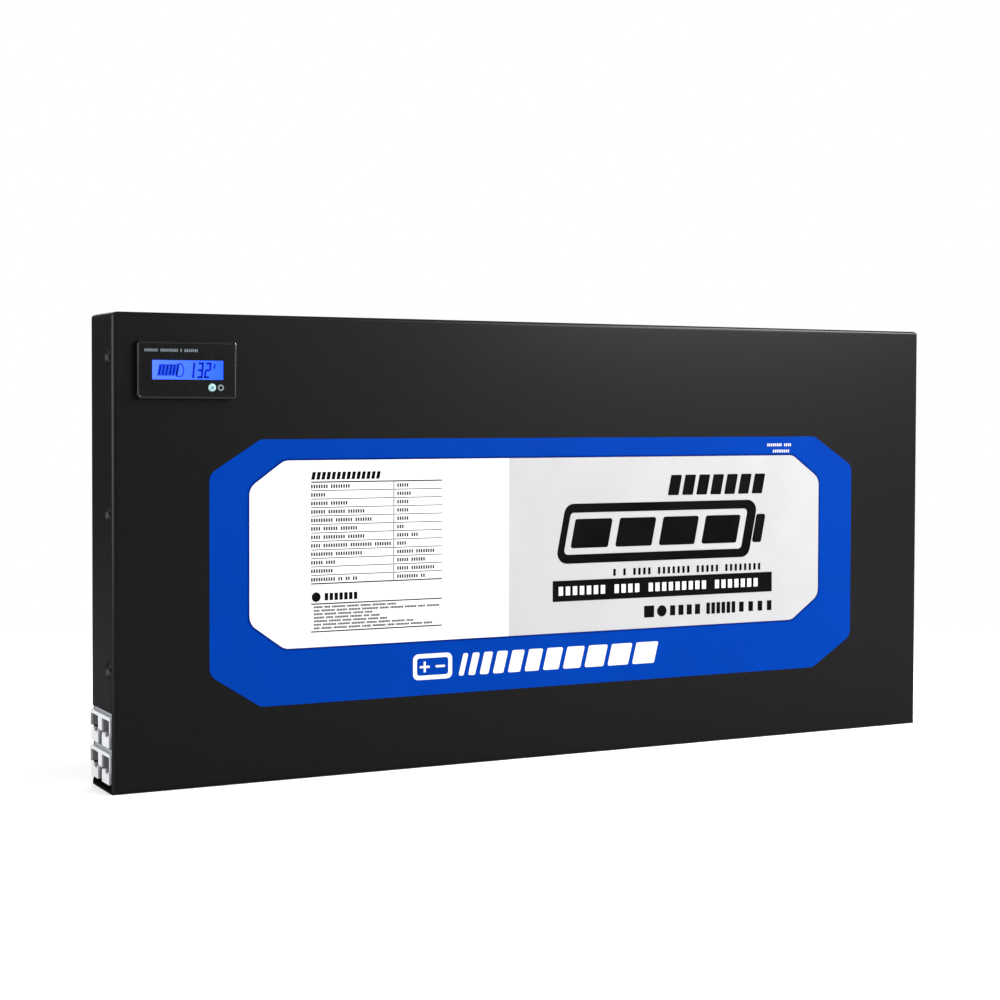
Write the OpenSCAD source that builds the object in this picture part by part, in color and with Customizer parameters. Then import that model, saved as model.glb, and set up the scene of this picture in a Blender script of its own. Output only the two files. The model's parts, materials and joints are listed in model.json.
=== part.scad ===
// Slim wall-type deep cycle battery, standing on its long bottom edge.
// A folded sheet-steel case holds four pouch cells in series, a battery management board,
// a capacity meter with a push button, and two stacked genderless two-pole connectors.
// Frame: the origin is the centre of the bottom face, +X runs along the case away from the
// connectors, the front face with the label looks towards -Y, and +Z is up. Units: mm.

/* [Case] */
// Length of the case
case_l = 660; // [656:1:680]
// Height of the case
case_h = 315; // [312:1:330]
// Depth of the case, from front face to back face
case_d = 52; // [52:0.5:56]
// Thickness of the folded steel sheet
sheet = 1.5; // [1.4:0.1:1.6]
// Outside bend radius along the rear edges
rear_bend_r = 5; // [4:0.5:6]
// Outside bend radius of the two top corners, seen from the front
top_corner_r = 4.5; // [4:0.5:6]
// Outside bend radius along the front cover's edges
front_bend_r = 2.8; // [2:0.2:2.8]
// Depth of the front cover's visible rim
rim_d = 3; // [2.5:0.5:3.5]
// Width of the open seam between the rim and the rear tray
seam = 0.4; // [0.2:0.1:0.8]
// Depth of the front cover's inner flange, from the front face
flange_d = 16; // [15:1:17]
// Gap between the tray walls and the flange nested inside them
nest_gap = 0.1; // [0.1:0.05:0.2]

/* [Case screws] */
// Distance of the screw lines behind the front face
screw_back = 10; // [9.5:0.5:10.5]
// Spacing of the three screws on each end
end_pitch = 102.5; // [100:0.5:104]
// Height of the middle end screw
end_mid_z = 183.5; // [180:0.5:186]
// Spacing of the four screws along the top
top_pitch = 184; // [170:1:186]
// Spacing of the four screws along the bottom
bottom_pitch = 167; // [160:1:168]
// Mouth radius of the pressed screw dimple
dimple_r = 6; // [5.8:0.1:6.2]

/* [Label] */
// Width of the eight-sided label
label_w = 528.5; // [500:0.5:540]
// Height of the eight-sided label
label_h = 180.3; // [170:0.1:190]
// Height of the label's centre above the base
label_z = 141.5; // [135:0.5:145]
// Thickness of the vinyl
label_t = 0.25; // [0.15:0.05:0.4]

/* [Meter] */
// Width of the meter bezel
bezel_w = 68.7; // [66:0.1:70]
// Height of the meter bezel
bezel_h = 38; // [37:0.1:40]
// How far the bezel stands out of the front face
bezel_out = 3.5; // [3.2:0.1:4]
// Distance of the bezel's centre from the left end
bezel_x = 50; // [48:0.5:50]
// Distance of the bezel's centre below the top
bezel_down = 37.5; // [36:0.5:38]
// Radius of the push button
button_r = 2.6; // [2.4:0.1:2.8]

/* [Connectors] */
// Width of a connector housing, across the case
housing_w = 46.4; // [46:0.2:46.6]
// Height of a connector housing
housing_h = 22.3; // [22:0.1:22.6]
// Length of a connector housing
housing_l = 65.5; // [64:0.5:66]
// Spacing of the two stacked connectors
housing_pitch = 24.1; // [24:0.1:24.3]
// How far the housings stand out of the end wall
housing_out = 1; // [0.6:0.2:2]
// Spacing of the two poles in a housing
pole_pitch = 25.6; // [25.4:0.1:25.8]
// Width of a pole cavity
cavity_w = 17; // [16.8:0.1:17.2]
// Depth of a pole cavity
cavity_d = 24; // [22:1:25]

/* [Cells] */
// Width of one pouch cell
cell_w = 138; // [134:1:138]
// Height of one pouch cell
cell_h = 255; // [245:1:256]
// Thickness of one pouch cell
cell_t = 36; // [32:1:36]
// Gap between neighbouring cells
cell_gap = 3; // [3:0.5:4]

/* [Hidden] */
$fn = 64;
eps = 0.01;

left = -case_l / 2;
right = case_l / 2;
front = -case_d / 2;
back = case_d / 2;
in_front = front + sheet;
in_back = back - sheet;
tray_front = front + rim_d + seam;
nest = sheet + nest_gap;
flange_in = nest + sheet;
pad_clear = 3.5;
pad_back = in_back - pad_clear;
flange_stop_x = left + 72;
slip = 0.05;

// Case screws: countersunk, 5 mm thread
screw_y = front + screw_back;
screw_slope_l = 2.75;
head_sink = 1.4;
head_r = dimple_r - head_sink;
neck_r = dimple_r - screw_slope_l;
shank_r = 2.45;
tapped_r = 2.5;
clear_r = 2.75;
screw_l = 6.5;
nut_t = 4;
nut_w = 12;
nut_over = 13;
nut_y0 = screw_y - nut_w / 2;
nut_y1 = screw_y + nut_w / 2;
flange_hole_r = dimple_r + 0.6;
end_screw_z = [for (i = [-1:1]) end_mid_z + i * end_pitch];
top_screw_x = [for (i = [-1.5:1.5]) i * top_pitch];
bottom_shift = 25.5;
bottom_screw_x = [for (i = [-1.5:1.5]) bottom_shift + i * bottom_pitch];
socket_r = 1.75;
socket_d = 1.1;
dimple_wall = 1.15;

// Connector stack at the lower end of the left wall
fit = 0.1;
housing_gap = 0.3;
housing_y = in_back - housing_gap - housing_w / 2;
housing_foot = 4.1;
lower_z = housing_foot + housing_h / 2;
housing_z = [lower_z, lower_z + housing_pitch];
face_x = left - housing_out;
block_x = face_x + cavity_d;
tail_x = face_x + housing_l;
pole_y = [housing_y - pole_pitch / 2, housing_y + pole_pitch / 2];
hood_wall = 2.4;
cavity_top = housing_h / 2 - hood_wall;
pole_clear = 0.4;
finger_w = cavity_w - pole_clear;
finger_top = -0.4;
finger_low = -9.2;
finger_nose = 2.2;
nose_slot_w = 6.6;
nose_slot_h = 2;
nose_slot_off = 3;
blade_w = 13;
blade_t = 2.4;
blade_tip = 5.6;
shank_w = 12;
shank_t = 4.4;
groove_w = blade_w + pole_clear;
groove_low = -4.8;
pin_r = 2;
pin_x = [face_x + 31, face_x + 51];
opening_low = sheet;
cradle_x = left + 1.9;
cradle_wall = 2.4;
cradle_top = housing_z[1] + housing_h / 2 + cradle_wall + fit;
opening_top = cradle_top + fit;
shelf_setback = 12;
tail_out = 3.5;

// Bay for the connectors, the board and the meter, left of the cells
bay_right = left + 86.6;
partition_t = 1.5;
bus_t = 3;
bus_x = tail_x + tail_out;

// Cells
cell_z = 11.7;
cell_x0 = left + 90.5;
cell_pitch = cell_w + cell_gap;
cell_x = [for (i = [0:3]) cell_x0 + cell_w / 2 + i * cell_pitch];
cell_r = 6;
terrace_z = cell_z + cell_h;
tab_z = terrace_z + 9;
tab_top = tab_z + 15;
tab_w = 40;
tab_t = 0.8;
tab_off = 38;
pack_right = cell_x0 + 4 * cell_w + 3 * cell_gap;
pad_front = front + flange_d + 0.5;
link_t = 2.5;
link_z = tab_z + 2;
link_h = 12;

// Battery management board, on its heat sink against the rear wall
board_x = left + 12;
board_w = 62;
board_z = 84;
board_h = 166;
sink_t = 3;
sink_y = in_back - fit - sink_t;
transistor_t = 4.5;
board_t = 1.6;
board_y = sink_y - transistor_t - board_t;
stud_r = 3;
stud_in = 5;
stud_far = board_w - 17;
board_screw_r = 1.45;
board_holes = [for (x = [stud_in, stud_far], z = [stud_in, board_h - stud_in])
    [board_x + x, board_z + z]];

// Capacity meter
meter_x = left + bezel_x;
meter_z = case_h - bezel_down;
meter_y = front - bezel_out;
bezel_wall = 1.6;
bezel_r = 2.6;
pod_w = 62.4;
pod_h = 32.4;
pod_d = 13;
pod_wall = 1.5;
window_w = 48.7;
window_h = 12.6;
window_x = meter_x + 0.1;
window_back = 0.5;
lcd_w = 54;
lcd_h = 15.2;
lcd_t = 2.9;
button_x = meter_x + 16.5;
button_z = meter_z - 11.5;
button_out = 0.8;
button_gap = 0.3;
button_flange_r = 3.4;
button_flange_t = 0.8;
button_travel = 0.6;
switch_w = 6;
switch_y = meter_y + bezel_wall + 3.3;
stem_r = 1.6;
cut_out_gap = 0.4;
meter_board_y = front + 4;

// Pack positive cable
cable_r = 4.5;
cable_y = -8.2;
cable_z = tab_z + 8;
cable_bend_r = 15;
cable_down_x = bay_right - 7.6;
lug_r = 5.9;
plus_lug_z = 56;
lug_plate_h = 18;
barrel_l = 18;

case_black = "#202124";
steel = "#9a9da1";
screw_black = "#17181a";
label_blue = "#0048b8";
connector_white = "#e9eaec";
copper = "#b87333";
silver = "#c9cccf";
foam_grey = "#5b5f63";

// ---------- helpers ----------

// Box between two opposite corners
module box(low, high) {
    translate(low)
        cube(high - low);
}

// Rectangle with the two corners at y_round rounded; y_flat is its square side
module round_one_side(w0, w1, y_flat, y_round, r) {
    way = sign(y_round - y_flat);
    y_arc = y_round - way * r;
    translate([w0, min(y_flat, y_arc)])
        square([w1 - w0, abs(y_arc - y_flat)]);
    translate([w0 + r, min(y_flat, y_round)])
        square([w1 - w0 - 2 * r, abs(y_round - y_flat)]);
    for (w = [w0 + r, w1 - r])
        translate([w, y_arc])
            circle(r);
}

// The case's outline from the front, less inset: square bottom corners, bent top corners
module case_outline(inset) {
    r = top_corner_r - inset;
    w = case_l - 2 * inset;
    translate([-w / 2, inset - case_h / 2])
        square([w, case_h - 2 * inset - r]);
    translate([-w / 2 + r, inset - case_h / 2])
        square([w - 2 * r, case_h - 2 * inset]);
    for (side = [-1, 1])
        translate([side * (w / 2 - r), case_h / 2 - inset - r])
            circle(r);
}

// Block over the case's outline less inset, from y0 to y1
module outline_block(inset, y0, y1) {
    standing_plate(0, case_h / 2, y0, y1)
        case_outline(inset);
}

// Block over the case's outline less inset, with the four edges at y_round bent round
module bent_block(inset, y_flat, y_round, r) {
    intersection() {
        outline_block(inset, min(y_flat, y_round), max(y_flat, y_round));
        translate([0, 0, inset])
            linear_extrude(case_h - 2 * inset)
                round_one_side(left + inset, right - inset, y_flat, y_round, r);
        translate([right - inset, 0, 0])
            rotate([0, -90, 0])
                linear_extrude(case_l - 2 * inset)
                    round_one_side(inset, case_h - inset, y_flat, y_round, r);
    }
}

// Rounded rectangle centred on the origin
module round_rect(w, h, r) {
    square([w - 2 * r, h], center = true);
    square([w, h - 2 * r], center = true);
    for (x = [-1, 1], y = [-1, 1])
        translate([x * (w / 2 - r), y * (h / 2 - r)])
            circle(r);
}

// Plate standing parallel to the front face: a flat outline at (x, z), from y0 to y1
module standing_plate(x, z, y0, y1) {
    translate([x, y1, z])
        rotate([90, 0, 0])
            linear_extrude(y1 - y0)
                children();
}

// Children along every case screw of one side, with +Z out of the wall
module at_screws(side) {
    if (side == "left")
        for (z = end_screw_z)
            translate([left, screw_y, z])
                rotate([0, -90, 0])
                    children();
    if (side == "right")
        for (z = end_screw_z)
            translate([right, screw_y, z])
                rotate([0, 90, 0])
                    children();
    if (side == "top")
        for (x = top_screw_x)
            translate([x, screw_y, case_h])
                children();
    if (side == "bottom")
        for (x = bottom_screw_x)
            translate([x, screw_y, 0])
                rotate([180, 0, 0])
                    children();
}

module at_all_screws() {
    for (side = ["left", "right", "top", "bottom"])
        at_screws(side)
            children();
}

// Round wire through axis-parallel corner points
module wire(points, r) {
    for (i = [0:len(points) - 2]) {
        step = points[i + 1] - points[i];
        run = norm(step);
        turn = abs(step[0]) > eps ? [0, 90 * sign(step[0]), 0]
            : abs(step[1]) > eps ? [-90 * sign(step[1]), 0, 0]
            : [step[2] > 0 ? 0 : 180, 0, 0];
        translate(points[i])
            rotate(turn)
                cylinder(h = run, r = r);
    }
    if (len(points) > 2)
        for (i = [1:len(points) - 2])
            translate(points[i])
                sphere(r);
}

// ---------- case ----------

// Solid cone that the dimple is pressed into, behind the wall
module dimple_back() {
    translate([0, 0, -flange_in])
        cylinder(h = flange_in - 1, r1 = neck_r + dimple_wall,
            r2 = neck_r + dimple_wall + flange_in - 1);
}

// Cone and clearance hole cut by the dimple
module dimple_cut() {
    translate([0, 0, -screw_slope_l])
        cylinder(h = screw_slope_l + 0.5, r1 = neck_r, r2 = dimple_r + 0.5);
    translate([0, 0, -flange_in - 1])
        cylinder(h = flange_in, r = clear_r);
}

module rear_tray() {
    color(case_black)
    difference() {
        union() {
            difference() {
                bent_block(0, tray_front, back, rear_bend_r);
                bent_block(sheet, tray_front - 1, in_back, rear_bend_r - sheet);
            }
            at_all_screws()
                dimple_back();
        }
        at_all_screws()
            dimple_cut();
        connector_opening();
    }
}

// Opening in the left wall, from the bottom sheet up, clear of the bent rear-bottom edge
module connector_opening() {
    reach = 2 * rear_bend_r;
    intersection() {
        box([left - 1, tray_front - 1, opening_low], [left + reach, in_back, opening_top]);
        translate([left + reach, 0, 0])
            rotate([0, -90, 0])
                linear_extrude(reach + 1)
                    round_one_side(sheet, case_h, tray_front - 1, in_back, rear_bend_r - sheet);
    }
}

module front_cover() {
    color(case_black)
    difference() {
        union() {
            bent_block(0, front + rim_d, front, front_bend_r);
            outline_block(nest, in_front, front + flange_d);
        }
        outline_block(flange_in, in_front, back);
        // The inner flange stops short of the connector stack
        box([left + nest - 1, front + rim_d, nest - 1],
            [flange_stop_x, back, opening_top + 1]);
        standing_plate(meter_x, meter_z, front - 1, in_front + 1)
            square([pod_w + 2 * cut_out_gap, pod_h + 2 * cut_out_gap], center = true);
        at_all_screws()
            translate([0, 0, -flange_in - 1])
                cylinder(h = flange_in - nest + 1.2, r = flange_hole_r);
    }
}

// Flat bar with tapped holes, clamped against the inside of the flange
module nut_bar(side, low, high) {
    color(steel)
    difference() {
        box(low, high);
        at_screws(side)
            translate([0, 0, -flange_in - nut_t - 1])
                cylinder(h = nut_t + 2, r = tapped_r);
    }
}

module left_nut_bar() {
    nut_bar("left", [left + flange_in, nut_y0, end_screw_z[0] - nut_over],
        [left + flange_in + nut_t, nut_y1, end_screw_z[2] + nut_over]);
}

module right_nut_bar() {
    nut_bar("right", [right - flange_in - nut_t, nut_y0, end_screw_z[0] - nut_over],
        [right - flange_in, nut_y1, end_screw_z[2] + nut_over]);
}

module top_nut_bar() {
    nut_bar("top", [top_screw_x[0] - nut_over, nut_y0, case_h - flange_in - nut_t],
        [top_screw_x[3] + nut_over, nut_y1, case_h - flange_in]);
}

module bottom_nut_bar() {
    nut_bar("bottom", [bottom_screw_x[0] - nut_over, nut_y0, flange_in],
        [bottom_screw_x[3] + nut_over, nut_y1, flange_in + nut_t]);
}

// Countersunk screw with a hexagon socket, seated in its dimple
module case_screw() {
    color(screw_black)
    difference() {
        union() {
            translate([0, 0, -screw_slope_l])
                cylinder(h = screw_slope_l - head_sink, r1 = neck_r, r2 = head_r);
            translate([0, 0, -head_sink - screw_l])
                cylinder(h = screw_l - 1, r = shank_r);
        }
        translate([0, 0, -head_sink - socket_d])
            cylinder(h = 2 * socket_d, r = socket_r, $fn = 6);
    }
}

module left_screws() {
    at_screws("left")
        case_screw();
}

module right_screws() {
    at_screws("right")
        case_screw();
}

module top_screws() {
    at_screws("top")
        case_screw();
}

module bottom_screws() {
    at_screws("bottom")
        case_screw();
}

// Eight-sided vinyl label with softened corners
module front_label() {
    cut_x = 36;
    cut_z = 23;
    corner_r = 9;
    x = label_w / 2;
    z = label_h / 2;
    color(label_blue)
    standing_plate(0, label_z, front - label_t, front)
        offset(r = corner_r)
            offset(delta = -corner_r)
                polygon([
                    [-x + cut_x, -z], [x - cut_x, -z], [x, -z + cut_z], [x, z - cut_z],
                    [x - cut_x, z], [-x + cut_x, z], [-x, z - cut_z], [-x, -z + cut_z]]);
}

// ---------- connectors ----------

// Three shelves and a rear wall that hold the two housings; the lowest shelf is set back
module connector_cradle() {
    shelf_x = [cradle_x + shelf_setback, cradle_x, cradle_x];
    shelf_z = [
        [nest, housing_z[0] - housing_h / 2 - fit],
        [housing_z[0] + housing_h / 2 + fit, housing_z[1] - housing_h / 2 - fit],
        [housing_z[1] + housing_h / 2 + fit, cradle_top]];
    y0 = housing_y - housing_w / 2;
    y1 = housing_y + housing_w / 2;
    color("#6f7276")
    difference() {
        union() {
            for (i = [0:2])
                box([shelf_x[i], y0, shelf_z[i][0]], [tail_x + cradle_wall, y1, shelf_z[i][1]]);
            box([tail_x + fit, y0, nest], [tail_x + cradle_wall, y1, shelf_z[2][1]]);
        }
        for (z = housing_z, y = pole_y)
            box([tail_x - 1, y - shank_w / 2 - 1, z + groove_low - 0.6],
                [tail_x + cradle_wall + 1, y + shank_w / 2 + 1, z + 1]);
        for (x = pin_x)
            translate([x, housing_y, nest - 1])
                cylinder(h = opening_top, r = pin_r + slip);
        // Clear of the bent rear edge
        box([cradle_x - 1, in_back - rear_bend_r + sheet, nest - 1],
            [tail_x + cradle_wall + 1, y1 + 1, rear_bend_r]);
    }
}

// Genderless housing: a hood with two cavities above two fingers, on a common block
module connector_housing(z) {
    y0 = housing_y - housing_w / 2;
    y1 = housing_y + housing_w / 2;
    color(connector_white)
    difference() {
        union() {
            translate([0, 0, z])
                box([block_x, y0, -housing_h / 2], [tail_x, y1, housing_h / 2]);
            translate([block_x + eps, housing_y, z])
                rotate([90, 0, -90])
                    linear_extrude(cavity_d + eps)
                        housing_hood();
            for (y = pole_y)
                translate([block_x + eps, y, z])
                    rotate([90, 0, -90])
                        linear_extrude(cavity_d + eps)
                            housing_finger();
        }
        for (y = pole_y) {
            translate([0, y, z])
                box([face_x + finger_nose, -groove_w / 2, groove_low],
                    [tail_x + 1, groove_w / 2, 0.15]);
            // Slot through the finger's nose, open at the top, towards the front face
            translate([face_x, y - nose_slot_off, z + finger_top])
                box([-1, -nose_slot_w / 2, -nose_slot_h],
                    [finger_nose + 1, nose_slot_w / 2, -finger_top + 0.15]);
        }
        for (x = pin_x)
            translate([x, housing_y, z - housing_h])
                cylinder(h = 2 * housing_h, r = pin_r + slip);
    }
}

// Cross-section of the hood, seen from outside the end wall
module housing_hood() {
    hood_low = 0.2;
    corner_r = 2;
    difference() {
        union() {
            translate([-housing_w / 2, hood_low])
                square([housing_w, housing_h / 2 - hood_low - corner_r]);
            translate([-housing_w / 2 + corner_r, hood_low])
                square([housing_w - 2 * corner_r, housing_h / 2 - hood_low]);
            for (side = [-1, 1])
                translate([side * (housing_w / 2 - corner_r), housing_h / 2 - corner_r])
                    circle(corner_r);
        }
        for (side = [-1, 1])
            translate([side * pole_pitch / 2 - cavity_w / 2, -1])
                square([cavity_w, cavity_top + 1]);
    }
}

// Cross-section of one finger, with its two upper corners rounded
module housing_finger() {
    corner_r = 3;
    w = finger_w / 2;
    translate([-w, finger_low])
        square([finger_w, finger_top - corner_r - finger_low]);
    translate([-w + corner_r, finger_low])
        square([finger_w - 2 * corner_r, finger_top - finger_low]);
    for (side = [-1, 1])
        translate([side * (w - corner_r), finger_top - corner_r])
            circle(corner_r);
}

module upper_connector_housing() {
    connector_housing(housing_z[1]);
}

module lower_connector_housing() {
    connector_housing(housing_z[0]);
}

// Silver-plated contact: a flat blade on the finger and a thicker shank through the block
module contact(y, z) {
    color(silver)
    translate([0, y, z]) {
        box([face_x + blade_tip, -blade_w / 2, -blade_t], [block_x + 1, blade_w / 2, 0]);
        box([block_x, -shank_w / 2, -shank_t], [bus_x, shank_w / 2, 0]);
    }
}

module positive_contacts() {
    for (z = housing_z)
        contact(pole_y[0], z);
}

module negative_contacts() {
    for (z = housing_z)
        contact(pole_y[1], z);
}

// Flat leaf spring arched under each blade
module contact_springs() {
    leaf = 0.5;
    leaf_w = 9;
    rise = 1.7;
    foot = groove_low + 0.1;
    x0 = face_x + blade_tip + 1;
    x1 = block_x - 1;
    xm = (x0 + x1) / 2;
    color(steel)
    for (z = housing_z, y = pole_y)
        translate([0, y + leaf_w / 2, z])
            rotate([90, 0, 0])
                linear_extrude(leaf_w)
                    polygon([
                        [x0, foot], [x0 + 3, foot], [xm, foot + rise], [x1 - 3, foot], [x1, foot],
                        [x1, foot + leaf], [x1 - 3, foot + leaf], [xm, foot + rise + leaf],
                        [x0 + 3, foot + leaf], [x0, foot + leaf]]);
}

module connector_pins() {
    color(steel)
    for (x = pin_x)
        translate([x, housing_y, nest])
            cylinder(h = opening_top - nest, r = pin_r);
}

// Upright copper bar that joins both positive contacts and takes the cable lug
module positive_bus() {
    bus_w = 16;
    color(copper)
    difference() {
        box([bus_x, pole_y[0] - bus_w / 2, housing_z[0] - 8],
            [bus_x + bus_t, pole_y[0] + bus_w / 2, plus_lug_z + 14]);
        junction_bore();
    }
}

module junction_bore() {
    translate([bus_x - 1, cable_y, plus_lug_z + 7])
        rotate([0, 90, 0])
            cylinder(h = 4 * bus_t, r = 3.1);
}

// Upright copper bar from both negative contacts to the lower pad of the board
module negative_bus() {
    foot_y = board_y - bus_t;
    foot_z = board_z + 10;
    color(copper) {
        box([bus_x, board_y - 8, housing_z[0] - 8], [bus_x + bus_t, board_y, foot_z + 14]);
        box([bus_x - 14, foot_y, foot_z], [bus_x + bus_t, board_y, foot_z + 14]);
    }
}

// ---------- meter ----------

module meter_bezel() {
    pocket_w = 61;
    pocket_h = 31;
    color("#1b1c1f")
    difference() {
        standing_plate(meter_x, meter_z, meter_y, front)
            round_rect(bezel_w, bezel_h, bezel_r);
        standing_plate(meter_x, meter_z, meter_y + bezel_wall, front + 1)
            square([pocket_w, pocket_h], center = true);
        standing_plate(window_x, meter_z, meter_y - 1, front)
            square([window_w, window_h], center = true);
        standing_plate(button_x, button_z, meter_y - 1, front)
            circle(button_r + button_gap);
    }
}

module meter_window() {
    color("#9fb4ff", 0.5)
    standing_plate(window_x, meter_z, meter_y + window_back, meter_y + bezel_wall)
        square([window_w - 2 * fit, window_h - 2 * fit], center = true);
}

module lcd_panel() {
    color("#4682ff")
    standing_plate(window_x, meter_z, meter_y + bezel_wall, meter_y + bezel_wall + lcd_t)
        square([lcd_w, lcd_h], center = true);
}

// Rear box of the meter, open to the front, pushed through the cover's cut-out
module meter_pod() {
    color("#26272a")
    difference() {
        standing_plate(meter_x, meter_z, front, front + pod_d)
            square([pod_w, pod_h], center = true);
        standing_plate(meter_x, meter_z, front - 1, front + pod_d - pod_wall)
            square([pod_w - 2 * pod_wall, pod_h - 2 * pod_wall], center = true);
        standing_plate(meter_x, meter_z, front, front + pod_d + 1)
            circle(1.5);
    }
}

// Two barbed clips that lock the pod behind the sheet
module meter_clips() {
    clip_h = 12;
    y0 = in_front + 0.1;
    color("#3a3b3e")
    for (side = [-1, 1])
        translate([meter_x, 0, meter_z - clip_h / 2])
            linear_extrude(clip_h)
                polygon([
                    [side * pod_w / 2, y0], [side * (pod_w / 2 + 2.2), y0],
                    [side * (pod_w / 2 + 0.8), y0 + 6], [side * pod_w / 2, y0 + 6]]);
}

module meter_board() {
    color("#1f6b3a")
    standing_plate(meter_x, meter_z, meter_board_y, meter_board_y + board_t)
        square([pod_w - 2 * pod_wall - 1, pod_h - 2 * pod_wall - 1], center = true);
}

// Tactile switch on the meter board, behind the button
module button_switch() {
    color("#303236")
    standing_plate(button_x, button_z, switch_y, meter_board_y)
        square(switch_w, center = true);
}

// Push button: cap through the bezel, retaining flange and stem
module meter_button() {
    flange_y = meter_y + bezel_wall + fit;
    color("#bfe0dd") {
        standing_plate(button_x, button_z, meter_y - button_out, flange_y + fit)
            circle(button_r);
        standing_plate(button_x, button_z, flange_y, flange_y + button_flange_t)
            circle(button_flange_r);
        standing_plate(button_x, button_z, flange_y, switch_y - button_travel - fit)
            circle(stem_r);
    }
}

// Lead from the meter's rear to the management board
module meter_lead() {
    run_y = -4;
    drop_z = board_z + board_h - 30;
    color("#a01818")
    wire([
        [meter_x, meter_board_y + board_t, meter_z],
        [meter_x, run_y, meter_z],
        [meter_x, run_y, drop_z],
        [meter_x, board_y, drop_z]], 1.2);
}

// ---------- cells ----------

// Pouch cell: a swollen brick with a tapered sealed terrace along its top
module pouch_cell(i) {
    neck = cell_t / 2 - 4;
    color("#c3c7cb") {
        translate([cell_x[i], 0, cell_z])
            linear_extrude(cell_h)
                round_rect(cell_w, cell_t, cell_r);
        translate([cell_x[i] - cell_w / 2 + 5, 0, 0])
            rotate([90, 0, 90])
                linear_extrude(cell_w - 10)
                    polygon([
                        [-neck, terrace_z - 1], [neck, terrace_z - 1], [2, terrace_z + 4],
                        [0.6, tab_z], [-0.6, tab_z], [-2, terrace_z + 4]]);
    }
}

module cell_1() {
    pouch_cell(0);
}

module cell_2() {
    pouch_cell(1);
}

module cell_3() {
    pouch_cell(2);
}

module cell_4() {
    pouch_cell(3);
}

module cell_tabs(side) {
    for (x = cell_x)
        box([x + side * tab_off - tab_w / 2, -tab_t / 2, tab_z],
            [x + side * tab_off + tab_w / 2, tab_t / 2, tab_top]);
}

module positive_tabs() {
    color("#d7dade")
    cell_tabs(1);
}

module negative_tabs() {
    color(copper)
    cell_tabs(-1);
}

// Bars that join each positive tab to the next cell's negative tab
module series_links() {
    color(copper)
    for (i = [0:2])
        box([cell_x[i] + tab_off - tab_w / 2, -tab_t / 2 - link_t, link_z],
            [cell_x[i + 1] - tab_off + tab_w / 2, -tab_t / 2, link_z + link_h]);
}

module cell_foam(y0, y1) {
    color(foam_grey)
    box([cell_x0 + 3, y0, cell_z + 3], [pack_right - 3, y1, terrace_z - 3]);
}

module front_foam() {
    cell_foam(in_front, -cell_t / 2);
}

module rear_foam() {
    cell_foam(cell_t / 2, in_back);
}

module base_pad() {
    color(foam_grey)
    box([cell_x0, pad_front, sheet], [pack_right, pad_back, cell_z]);
}

module end_pad() {
    color(foam_grey)
    box([pack_right, pad_front, cell_z], [right - sheet, pad_back, terrace_z]);
}

module cell_dividers() {
    color("#d8c27a")
    for (i = [0:2])
        box([cell_x[i] + cell_w / 2, -cell_t / 2, cell_z],
            [cell_x[i] + cell_w / 2 + cell_gap, cell_t / 2, terrace_z]);
}

// Insulating wall between the cells and the connector bay
module bay_partition() {
    color("#d8c27a")
    box([bay_right, pad_front, sheet], [bay_right + partition_t, pad_back, terrace_z - 4]);
}

// Folded insulating sheet over the tabs and links
module tab_cover() {
    cover_t = 1;
    y0 = cable_y - lug_r - 1.7;
    z1 = case_h - 11.5;
    color("#d8c27a") {
        box([cell_x0 + 2, y0, terrace_z + 5], [pack_right - 3, y0 + cover_t, z1]);
        box([cell_x0 + 2, y0, z1 - cover_t], [pack_right - 3, pad_back, z1]);
    }
}

// ---------- management board ----------

module at_board_holes() {
    for (p = board_holes)
        translate([p[0], 0, p[1]])
            rotate([-90, 0, 0])
                children();
}

module bms_board() {
    color("#174a2a")
    difference() {
        box([board_x, board_y, board_z], [board_x + board_w, board_y + board_t, board_z + board_h]);
        at_board_holes()
            translate([0, 0, board_y - 1])
                cylinder(h = board_t + 2, r = board_screw_r + fit);
    }
}

module bms_heat_sink() {
    color("#b3b7bb")
    difference() {
        box([board_x, sink_y, board_z], [board_x + board_w, sink_y + sink_t, board_z + board_h]);
        at_board_holes()
            translate([0, 0, sink_y - 1])
                cylinder(h = sink_t + 2, r = board_screw_r + fit);
    }
}

module bms_transistors() {
    color("#2a2c2f")
    for (x = [14, 38], z = [0:6])
        box([board_x + x, board_y + board_t, board_z + 16 + z * 20],
            [board_x + x + 10, sink_y, board_z + 31 + z * 20]);
}

module bms_standoffs() {
    color("#c8a24a")
    at_board_holes()
        difference() {
            translate([0, 0, board_y + board_t])
                cylinder(h = transistor_t, r = stud_r);
            translate([0, 0, board_y])
                cylinder(h = 4 * transistor_t, r = board_screw_r + fit);
        }
}

module bms_screws() {
    head_h = 2;
    color(steel)
    at_board_holes() {
        translate([0, 0, board_y - head_h])
            cylinder(h = head_h, r = 2.8);
        translate([0, 0, board_y - 1])
            cylinder(h = board_t + transistor_t + sink_t, r = board_screw_r);
    }
}

module bms_chips() {
    chip_t = 1.5;
    color("#26282b")
    for (p = [[10, 118, 12, 12], [10, 70, 9, 7], [28, 44, 8, 8]])
        box([board_x + p[0], board_y - chip_t, board_z + p[1]],
            [board_x + p[0] + p[2], board_y, board_z + p[1] + p[3]]);
}

module current_shunt() {
    color("#9c8f7a")
    box([board_x + 8, board_y - 2.5, board_z + 26], [board_x + 36, board_y, board_z + 34]);
}

// Plug of the balance leads, standing on the board
module balance_plug() {
    color("#e6e2d2")
    box([board_x + 37, -8.5, board_z + 98], [board_x + 51, board_y, board_z + 112]);
}

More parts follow.
